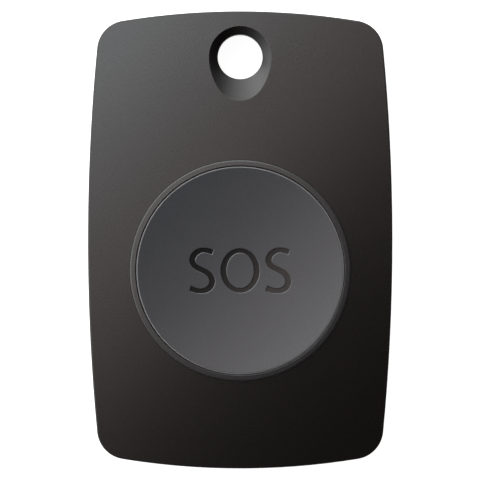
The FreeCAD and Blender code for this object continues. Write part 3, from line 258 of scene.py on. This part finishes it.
def dress_all():
    """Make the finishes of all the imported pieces."""
    finishes = {
        "cover_plastic": moulded_plastic("satin_black", (0.0024, 0.0014, 0.0010), 0.85, 0.27),
        "rear_plastic": moulded_plastic("matt_black", (0.0065, 0.0060, 0.0056), 0.85, 0.42,
                                        grain=9.0, relief=0.0015),
        "ring_plastic": moulded_plastic("ring_grey", (0.0125, 0.0123, 0.0128), 0.95, 0.27, gloss=0.68),
        "button_plastic": moulded_plastic("button_grey", (0.0462, 0.0480, 0.0522), 0.95, 0.27),
        "door_plastic": moulded_plastic("door_black", (0.0075, 0.0070, 0.0066), 0.85, 0.40,
                                        grain=9.0, relief=0.0015),
        "switch_plastic": moulded_plastic("switch_black", (0.012, 0.012, 0.013), 0.8, 0.5),
        "plunger_plastic": moulded_plastic("plunger_white", (0.62, 0.60, 0.55), 0.95, 0.45),
        "chip_plastic": moulded_plastic("chip_black", (0.016, 0.016, 0.018), 0.85, 0.6,
                                        grain=20.0, relief=0.003),
        "silicone": rubber("clear_silicone", (0.55, 0.56, 0.55), 0.5, subsurface=0.4),
        "seal_rubber": rubber("seal_black", (0.015, 0.015, 0.015), 0.65),
        "resistor_ceramic": rubber("resistor_black", (0.02, 0.02, 0.022), 0.4),
        "capacitor_ceramic": rubber("capacitor_tan", (0.34, 0.22, 0.13), 0.5),
        "plated_steel": metal("plated_steel", (0.66, 0.65, 0.62), 0.25, brushed=(1, 6, 1)),
        "tinned_brass": metal("tinned_brass", (0.68, 0.67, 0.64), 0.35),
        "gold_track": metal("gold_track", (0.83, 0.62, 0.26), 0.3),
        "cell_steel": metal("cell_steel", (0.70, 0.69, 0.67), 0.22, brushed=(1, 8, 1)),
        "contact_steel": metal("contact_steel", (0.64, 0.62, 0.58), 0.28, brushed=(8, 1, 1)),
        "screw_steel": metal("screw_zinc", (0.05, 0.05, 0.052), 0.35),
        "board": circuit_board("solder_mask"),
    }
    for slot, material in finishes.items():
        dress(slot, material)
    return finishes


# The legend engraved in the button, in millimetres: where its letters reach, and its stroke widths
LETTER_HIGH = -1.05
LETTER_LOW = -7.00
S_SIDES = ((-6.76, -3.22), (3.25, 6.76))
O_SIDES = ((-2.61, 2.63),)
UPRIGHT_STROKE = 0.88
LEVEL_STROKE = 0.71

# The steps that draw a stroke, and those beside the ends of an S that are left out to keep its corners
STROKE_STEPS = 96
END_CLEAR = 3

# The materials of the cap, by their place in its list
PLASTIC_SLOT = 0
PAINT_SLOT = 1
# The rim's bevel takes a pale grey, a painted highlight round the button's edge
PAINTED_HIGHLIGHT_SLOT = 2

# The engraving's bevel and wall: slot, inset and depth of the foot in millimetres, and lean in degrees
ENGRAVING_DEPTH = 0.2
ENGRAVING_STEPS = ((PLASTIC_SLOT, 0.08, 0.056, 35), (PAINT_SLOT, 0.11, ENGRAVING_DEPTH, 78))

# How far below the cap's top the dish and the bevel reach, and the radius that holds the dish alone, in mm
DISH_REACH_DOWN = 1.2
BEVEL_REACH_DOWN = 0.7
DISH_SAMPLE_RADIUS = 12.0

# The upward parts of the normal between which a face belongs to the bevel
BEVEL_STEEP = 0.6
BEVEL_FLAT = 0.95

# How far, in millimetres, a point may lie off the dish, and off another one at the same place
DISH_CLOSE = 0.002
SAME_PLACE = 0.0001

# The points that fill the dish round the letters, in millimetres: their step and how clear they stand
GRID_STEP = 1.1
GRID_CLEAR = 0.4

# The distance in millimetres within which the triangulation takes two points as one
PLAN_CLOSE = 1e-6

# The middle of the S's stroke, from its upper end to its lower, as shares of the letter box
S_SPINE = ((0.918, 0.903), (0.743, 0.935), (0.583, 0.950), (0.420, 0.937), (0.250, 0.872), (0.152, 0.780),
           (0.143, 0.705), (0.200, 0.632), (0.325, 0.566), (0.510, 0.510), (0.685, 0.455), (0.812, 0.382),
           (0.878, 0.287), (0.855, 0.190), (0.765, 0.112), (0.595, 0.060), (0.405, 0.052), (0.233, 0.072),
           (0.044, 0.116))


class Shell:
    """A mesh in the making: points in millimetres, and faces with a normal at each corner."""

    def __init__(self):
        self.points = []
        self.faces = []
        self.normals = []
        self.slots = []

    def add(self, place):
        """Add a point and give its number."""
        self.points.append(Vector(place))
        return len(self.points) - 1

    def plan(self, loops):
        """Give the outlines in the plan that loops of point numbers draw."""
        return [[self.points[number].to_2d() for number in loop] for loop in loops]

    def face(self, numbers, normals, slot):
        """Add a face, unless some of its corners fall together."""
        if len(set(numbers)) == len(numbers):
            self.faces.append(numbers)
            self.normals.extend(normals)
            self.slots.append(slot)

    def build(self, name, *materials):
        """Turn the shell into a smooth object in metres with its normals and materials."""
        mesh = bpy.data.meshes.new(name)
        mesh.from_pydata([place * MM for place in self.points], [], self.faces)
        for material in materials:
            mesh.materials.append(material)
        mesh.polygons.foreach_set("material_index", self.slots)
        mesh.shade_smooth()
        mesh.normals_split_custom_set(self.normals)
        piece = bpy.data.objects.new(name, mesh)
        bpy.context.collection.objects.link(piece)
        return piece


class Dish:
    """The sphere of the button's dish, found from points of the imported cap, in millimetres."""

    def __init__(self, places):
        table = np.array([list(place) for place in places])
        middle = table.mean(axis=0)
        table -= middle
        sums = np.column_stack((2 * table, np.ones(len(table))))
        answer = np.linalg.lstsq(sums, (table ** 2).sum(axis=1), rcond=None)[0]
        self.centre = Vector(answer[:3] + middle)
        self.radius = math.sqrt(answer[3] + (answer[:3] ** 2).sum())

    def holds(self, place):
        """Tell whether a point lies on the dish."""
        return abs((place - self.centre).length - self.radius) < DISH_CLOSE

    def at(self, place, drop=0.0):
        """Give the point of the dish over a place in the plan, or one sunk below it."""
        across = (place - self.centre.to_2d()).length
        height = self.centre.z - math.sqrt(self.radius ** 2 - across ** 2)
        return Vector((place.x, place.y, height - drop))

    def normal(self, place):
        """Give the dish's normal over or under a point."""
        return (self.centre - place).normalized()


def smooth_line(knots, steps):
    """Draw a smooth line through knots and give its points and directions."""
    ends = [2 * knots[0] - knots[1], *knots, 2 * knots[-1] - knots[-2]]
    line = []
    for step in range(steps + 1):
        share = step / steps * (len(knots) - 1)
        span = min(int(share), len(knots) - 2)
        at = share - span
        before, start, finish, after = ends[span:span + 4]
        bend = 2 * before - 5 * start + 4 * finish - after
        twist = 3 * (start - finish) + after - before
        place = start + ((finish - before) * at + bend * at ** 2 + twist * at ** 3) / 2
        toward = (finish - before) + 2 * bend * at + 3 * twist * at ** 2
        line.append((place, toward.normalized()))
    return line


def letter_s(left, right):
    """Outline the S: a stroke of changing width round its spine, with square ends."""
    size = Vector((right - left, LETTER_HIGH - LETTER_LOW))
    knots = [Vector((left + x * size.x, LETTER_LOW + y * size.y)) for x, y in S_SPINE]
    line = smooth_line(knots, STROKE_STEPS)
    line = [line[0], *line[END_CLEAR:-END_CLEAR], line[-1]]
    sides = []
    for flip in (1, -1):
        side = []
        for place, toward in line:
            width = LEVEL_STROKE + (UPRIGHT_STROKE - LEVEL_STROKE) * math.sqrt(abs(toward.y))
            side.append(place + Vector((toward.y, -toward.x)) * flip * width / 2)
        sides.append(side)
    return [sides[0] + sides[1][::-1]]


def letter_o(left, right):
    """Outline the O: an outer oval, and an inner one that runs the other way round."""
    middle = Vector(((left + right) / 2, (LETTER_HIGH + LETTER_LOW) / 2))
    half = Vector(((right - left) / 2, (LETTER_HIGH - LETTER_LOW) / 2))
    turns = [2 * math.pi * step / STROKE_STEPS for step in range(STROKE_STEPS)]
    outer = [middle + Vector((half.x * math.cos(turn), half.y * math.sin(turn))) for turn in turns]
    half -= Vector((UPRIGHT_STROKE, LEVEL_STROKE))
    inner = [middle + Vector((half.x * math.cos(turn), -half.y * math.sin(turn))) for turn in turns]
    return [outer, inner]


def mitres(outline):
    """Give at each point of an outline the step that insets it by one, on the stroke's side."""
    steps = []
    for before, place, after in zip(outline[-1:] + outline[:-1], outline, outline[1:] + outline[:1]):
        first = (place - before).normalized()
        second = (after - place).normalized()
        first = Vector((-first.y, first.x))
        second = Vector((-second.y, second.x))
        steps.append((first + second) / (1 + first.dot(second)))
    return steps


def inside(place, outlines):
    """Tell whether a point of the plan lies inside an odd number of outlines."""
    crossings = 0
    for outline in outlines:
        for start, finish in zip(outline, outline[1:] + outline[:1]):
            if (start.y > place.y) != (finish.y > place.y):
                share = (place.y - start.y) / (finish.y - start.y)
                crossings += place.x < start.x + share * (finish.x - start.x)
    return crossings % 2 == 1


def free_grid(outlines):
    """Give the points of a square grid that lie between outlines and stand clear of them."""
    fixed = [place for outline in outlines for place in outline]
    tree = kdtree.KDTree(len(fixed))
    for number, place in enumerate(fixed):
        tree.insert(place.to_3d(), number)
    tree.balance()
    reach = int(max(place.length for place in fixed) / GRID_STEP) + 1
    grid = []
    for row in range(-reach, reach + 1):
        for column in range(-reach, reach + 1):
            place = Vector((column, row)) * GRID_STEP
            if tree.find(place.to_3d())[2] > GRID_CLEAR and inside(place, outlines):
                grid.append(place)
    return grid


def fill(shell, loops, grid, dish, drop, slot):
    """Cover the plan between loops of points with triangles on the dish, or sunk below it."""
    numbers = [number for loop in loops for number in loop]
    outlines = shell.plan(loops)
    places = [place for outline in outlines for place in outline]
    edges = []
    for loop in loops:
        first = len(edges)
        edges.extend((first + item, first + (item + 1) % len(loop)) for item in range(len(loop)))
    numbers += [shell.add(dish.at(place, drop)) for place in grid]
    plan, _, faces, origins, _, _ = geometry.delaunay_2d_cdt(places + grid, edges, [], 0, PLAN_CLOSE)
    for face in faces:
        a, b, c = (plan[corner] for corner in face)
        if inside((a + b + c) / 3, outlines):
            order = face if (b - a).cross(c - a) > 0 else face[::-1]
            corners = [numbers[origins[corner][0]] for corner in order]
            shell.face(corners, [dish.normal(shell.points[corner]) for corner in corners], slot)


def sink(shell, loop, dish):
    """Run the bevel and the wall of the engraving down from a loop; give the foot's loop."""
    outline = shell.plan([loop])[0]
    steps = mitres(outline)
    upper = loop
    for slot, inset, drop, angle in ENGRAVING_STEPS:
        lower = [shell.add(dish.at(place + step * inset, drop)) for place, step in zip(outline, steps)]
        lean = math.radians(angle)
        normals = [step.normalized().to_3d() * math.sin(lean) + Vector((0, 0, math.cos(lean)))
                   for step in steps]
        for item in range(len(loop)):
            before = item - 1
            shell.face((upper[before], upper[item], lower[item], lower[before]),
                       (normals[before], normals[item], normals[item], normals[before]), slot)
        upper = lower
    return upper


def merged_numbers(places):
    """Give each point the number of the first one at its place."""
    tree = kdtree.KDTree(len(places))
    for number, place in enumerate(places):
        tree.insert(place, number)
    tree.balance()
    return [min(found[1] for found in tree.find_range(place, SAME_PLACE)) for place in places]


def ordered_loop(edges):
    """Chain the edges of a closed rim into one loop of point numbers."""
    after = dict(edges)
    loop = [edges[0][0]]
    while after[loop[-1]] != loop[0]:
        loop.append(after[loop[-1]])
    return loop


def join_rim(rim, numbers):
    """Add a face's edges to a rim, or take out those that its neighbours have added."""
    for start, finish in zip(numbers, numbers[1:] + numbers[:1]):
        if (finish, start) in rim:
            rim.remove((finish, start))
        else:
            rim.add((start, finish))


def copy_all_but_dish(shell):
    """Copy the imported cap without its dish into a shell; give the dish and the loop at its edge."""
    mesh = frame["nodes"]["button_cap"].data
    for vertex in mesh.vertices:
        shell.add(vertex.co / MM)
    same = merged_numbers(shell.points)
    dish_foot = cap_high.z / MM - DISH_REACH_DOWN
    bevel_foot = cap_high.z / MM - BEVEL_REACH_DOWN
    axis = (BUTTON / MM).to_2d()
    dish = Dish([place for place in shell.points
                 if place.z > dish_foot and (place.to_2d() - axis).length < DISH_SAMPLE_RADIUS])
    rim = set()
    for face in mesh.polygons:
        numbers = [same[number] for number in face.vertices]
        corners = [shell.points[number] for number in numbers]
        if all(corner.z > dish_foot and dish.holds(corner) for corner in corners):
            join_rim(rim, numbers)
        else:
            # Faces of the rim's bevel take the pale grey of the painted highlight
            bevel = corners[0].z > bevel_foot and BEVEL_STEEP < face.normal.z < BEVEL_FLAT
            normals = [mesh.corner_normals[number].vector.copy() for number in face.loop_indices]
            shell.face(numbers, normals, PAINTED_HIGHLIGHT_SLOT if bevel else PLASTIC_SLOT)
    return dish, ordered_loop(sorted(rim))


def add_engraved_cap(plastic, paint, painted_highlight):
    """Rebuild the button's cap: the legend engraved in its dish, a painted highlight on its rim, all else
    kept as packed.
    """
    shell = Shell()
    dish, edge = copy_all_but_dish(shell)
    letters = [letter_s(*sides) for sides in S_SIDES] + [letter_o(*sides) for sides in O_SIDES]
    letters = [[[shell.add(dish.at(place)) for place in outline] for outline in letter]
               for letter in letters]
    field = [edge, *(loop for letter in letters for loop in letter)]
    fill(shell, field, free_grid(shell.plan(field)), dish, 0, PLASTIC_SLOT)
    for letter in letters:
        feet = [sink(shell, loop, dish) for loop in letter]
        fill(shell, feet, [], dish, ENGRAVING_DEPTH, PAINT_SLOT)
    piece = shell.build("engraved_cap", plastic, paint, painted_highlight)
    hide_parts("button_cap")
    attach(piece, "button")


def add_giving_pieces():
    """Put copies of the pad and the dome that give way under the button in their place, on the joint's
    parent body.
    """
    for joint in frame["joints"]:
        for giving in joint.get("deforming_nodes", []):
            node = giving["node"]
            piece = bpy.data.objects.new(f"giving_{node}", frame["nodes"][node].data.copy())
            bpy.context.collection.objects.link(piece)
            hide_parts(node)
            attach(piece, joint["parent"])
            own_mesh(piece)


# The camera: a lens long enough to see almost without perspective, and its sensor, in millimetres
LENS = 1000
SENSOR_WIDTH = 36

# The distance at which the camera's sight ends
FURTHEST_SEEN = 100


def add_camera():
    """Look straight down from far off, framed as the photograph is."""
    camera = bpy.data.objects.new("camera", bpy.data.cameras.new("camera"))
    bpy.context.collection.objects.link(camera)
    camera.data.lens = LENS
    camera.data.sensor_width = SENSOR_WIDTH
    across = PHOTO_SIDE / PIXELS_PER_MM * MM
    distance = across * LENS / SENSOR_WIDTH
    middle = PHOTO_SIDE / 2
    camera.location = ((middle - CASE_PIXEL_X) / PIXELS_PER_MM * MM,
                       (CASE_PIXEL_Y - middle) / PIXELS_PER_MM * MM, RIM_HEIGHT + distance)
    camera.data.clip_end = FURTHEST_SEEN
    bpy.context.scene.camera = camera


# The lamps: how far they stand off, and on which side in degrees
LAMP_DISTANCE = 1.2
LAMP_AZIMUTH = 135.0

# The floor: its level just under the object, its reach, its colour and its glow as seen and as mirrored
FLOOR_LEVEL = -0.05 * MM
FLOOR_REACH = 8.0
FLOOR_COLOUR = 0.8
FLOOR_GLOW = 0.95
REFLECTED_GLOW = 0.2

# The room's light: its level overhead and at the horizon, and the upward part where the first one ends
ROOM_DIM = 0.002
ROOM_BRIGHT = 0.05
ROOM_TOP = 0.85

# The bright wall of the room: where its middle lies, in degrees, its level and how fast it fades
WALL_AZIMUTH = 134.0
WALL_TILT = 68.0
WALL_RADIANCE = 3.5
WALL_FADE = 3.2

# The upward parts of the direction at which the bright wall ends, and below which it is whole
WALL_TOP = 0.85
WALL_FULL = 0.66


def sky_direction(tilt, azimuth):
    """Give the direction at a tilt from overhead and at an azimuth, both in degrees."""
    lean = math.radians(tilt)
    turn = math.radians(azimuth)
    return Vector((math.sin(lean) * math.cos(turn), math.sin(lean) * math.sin(turn), math.cos(lean)))


def add_softbox(name, tilt, height, width, radiance, colour):
    """Hang a soft lamp tilted from overhead towards the upper left, sized by the angles it fills."""
    tall = 2 * LAMP_DISTANCE * math.tan(math.radians(height / 2))
    wide = 2 * LAMP_DISTANCE * math.tan(math.radians(width / 2))
    data = bpy.data.lights.new(name, "AREA")
    data.shape = "RECTANGLE"
    data.size = wide
    data.size_y = tall
    data.energy = radiance * math.pi * wide * tall
    data.color = colour
    lamp = bpy.data.objects.new(name, data)
    bpy.context.collection.objects.link(lamp)
    toward = sky_direction(tilt, LAMP_AZIMUTH)
    lamp.location = toward * LAMP_DISTANCE
    lamp.rotation_mode = "QUATERNION"
    lamp.rotation_quaternion = toward.to_track_quat("Z", "Y")
    lamp.visible_camera = False


def calculate(nodes, links, operation, first, second):
    """Combine a socket with another one or with a number."""
    node = nodes.new("ShaderNodeMath")
    node.operation = operation
    links.new(first, node.inputs[0])
    if isinstance(second, float):
        node.inputs[1].default_value = second
    else:
        links.new(second, node.inputs[1])
    return node.outputs["Value"]


def fade(nodes, links, source, start, finish, first=0.0, second=1.0):
    """Pass smoothly from a first level to a second while a number goes from start to finish."""
    eased = nodes.new("ShaderNodeMapRange")
    eased.interpolation_type = "SMOOTHSTEP"
    eased.inputs["From Min"].default_value = start
    eased.inputs["From Max"].default_value = finish
    eased.inputs["To Min"].default_value = first
    eased.inputs["To Max"].default_value = second
    links.new(source, eased.inputs["Value"])
    return eased.outputs["Result"]


def bright_wall(nodes, links, direction, height):
    """Give the light of the room's bright side, which fades evenly away from its middle."""
    toward = nodes.new("ShaderNodeVectorMath")
    toward.operation = "DOT_PRODUCT"
    toward.inputs[1].default_value = sky_direction(WALL_TILT, WALL_AZIMUTH)
    links.new(direction, toward.inputs[0])
    half = nodes.new("ShaderNodeMapRange")
    half.inputs["From Min"].default_value = -1
    links.new(toward.outputs["Value"], half.inputs["Value"])
    faded = calculate(nodes, links, "POWER", half.outputs["Result"], WALL_FADE)
    gated = calculate(nodes, links, "MULTIPLY", faded, fade(nodes, links, height, WALL_TOP, WALL_FULL))
    return calculate(nodes, links, "MULTIPLY", gated, WALL_RADIANCE)


def add_world():
    """Light the room: dim overhead, brighter round the horizon and on one side, white to the camera."""
    world = bpy.data.worlds.new("studio")
    bpy.context.scene.world = world
    world.use_nodes = True
    nodes = world.node_tree.nodes
    links = world.node_tree.links
    room = nodes["Background"]
    room.inputs["Color"].default_value = (*WHITE, 1)
    place = nodes.new("ShaderNodeTexCoord")
    height = nodes.new("ShaderNodeSeparateXYZ")
    links.new(place.outputs["Generated"], height.inputs["Vector"])
    level = fade(nodes, links, height.outputs["Z"], ROOM_TOP, 0.0, ROOM_DIM, ROOM_BRIGHT)
    wall = bright_wall(nodes, links, place.outputs["Generated"], height.outputs["Z"])
    links.new(calculate(nodes, links, "ADD", level, wall), room.inputs["Strength"])
    backdrop = nodes.new("ShaderNodeBackground")
    backdrop.inputs["Strength"].default_value = 1.0
    backdrop.inputs["Color"].default_value = (*WHITE, 1)
    path = nodes.new("ShaderNodeLightPath")
    choose = nodes.new("ShaderNodeMixShader")
    links.new(path.outputs["Is Camera Ray"], choose.inputs["Fac"])
    links.new(room.outputs["Background"], choose.inputs[1])
    links.new(backdrop.outputs["Background"], choose.inputs[2])
    links.new(choose.outputs["Shader"], nodes["World Output"].inputs["Surface"])


def add_floor():
    """Lay a white floor that shows white to the camera and in reflections, and keeps the shadow."""
    mesh = bpy.data.meshes.new("floor")
    corners = ((-1, -1), (1, -1), (1, 1), (-1, 1))
    mesh.from_pydata([(x * FLOOR_REACH, y * FLOOR_REACH, FLOOR_LEVEL) for x, y in corners], [],
                     [(0, 1, 2, 3)])
    floor = bpy.data.objects.new("floor", mesh)
    bpy.context.collection.objects.link(floor)
    material, shader, nodes, links = new_material("white_floor")
    shader.inputs["Base Color"].default_value = (FLOOR_COLOUR, FLOOR_COLOUR, FLOOR_COLOUR, 1)
    shader.inputs["Roughness"].default_value = 0.9
    shader.inputs["Specular IOR Level"].default_value = 0.0
    shader.inputs["Emission Color"].default_value = (*WHITE, 1)
    path = nodes.new("ShaderNodeLightPath")
    seen = calculate(nodes, links, "MULTIPLY", path.outputs["Is Camera Ray"], FLOOR_GLOW)
    reflected = calculate(nodes, links, "ADD", path.outputs["Is Glossy Ray"],
                          path.outputs["Is Transmission Ray"])
    mirrored = calculate(nodes, links, "MULTIPLY", reflected, REFLECTED_GLOW)
    links.new(calculate(nodes, links, "ADD", seen, mirrored), shader.inputs["Emission Strength"])
    mesh.materials.append(material)


finishes = dress_all()
# The cap's third material is a pale grey painted on the rim's bevel as a highlight
add_engraved_cap(finishes["button_plastic"],
                 moulded_plastic("legend_paint", (0.0100, 0.0095, 0.0095), 0.9, 0.18, gloss=0.42),
                 moulded_plastic("painted_highlight_edge", (0.26, 0.26, 0.265), 0.95, 0.2))
add_giving_pieces()
add_camera()
add_softbox("edge_softbox", tilt=6, height=12, width=64, radiance=1.1, colour=(1.16, 0.975, 0.94))
add_softbox("key_softbox", tilt=20.2, height=13.2, width=64, radiance=4.3, colour=(0.935, 0.98, 1.005))
add_world()
add_floor()
bpy.context.scene.view_settings.view_transform = "Standard"
